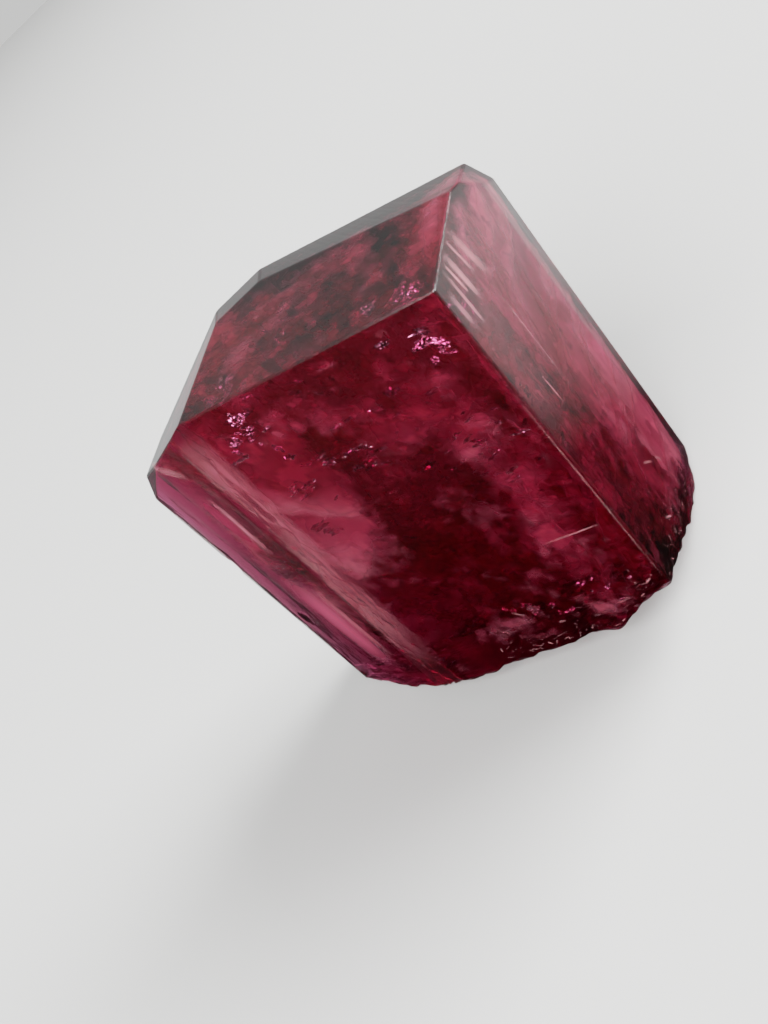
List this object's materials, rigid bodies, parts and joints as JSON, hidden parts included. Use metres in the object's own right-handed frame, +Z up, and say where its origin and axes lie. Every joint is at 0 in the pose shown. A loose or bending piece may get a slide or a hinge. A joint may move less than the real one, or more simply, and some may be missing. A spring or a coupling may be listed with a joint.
{
  "type": "tourmaline crystal",
  "caption": "Loose deep red-pink tourmaline crystal: a short clear striated prism with a flat termination, bevelled rims and a broken base it stands on.",
  "frame": {"origin": "on the surface it stands on, under the middle of the crystal's bounding box", "axes": "+Z up the length of the prism towards the flat termination, -Y out of the broad front face, +X out of the right face"},
  "size_m": [0.0158, 0.0094, 0.0171],
  "materials": {
    "tourmaline": "clear deep red-pink crystal, glossy faces, rough broken base"
  },
  "bodies": {
    "root": {"crystal": "tourmaline"}
  },
  "joints": []
}
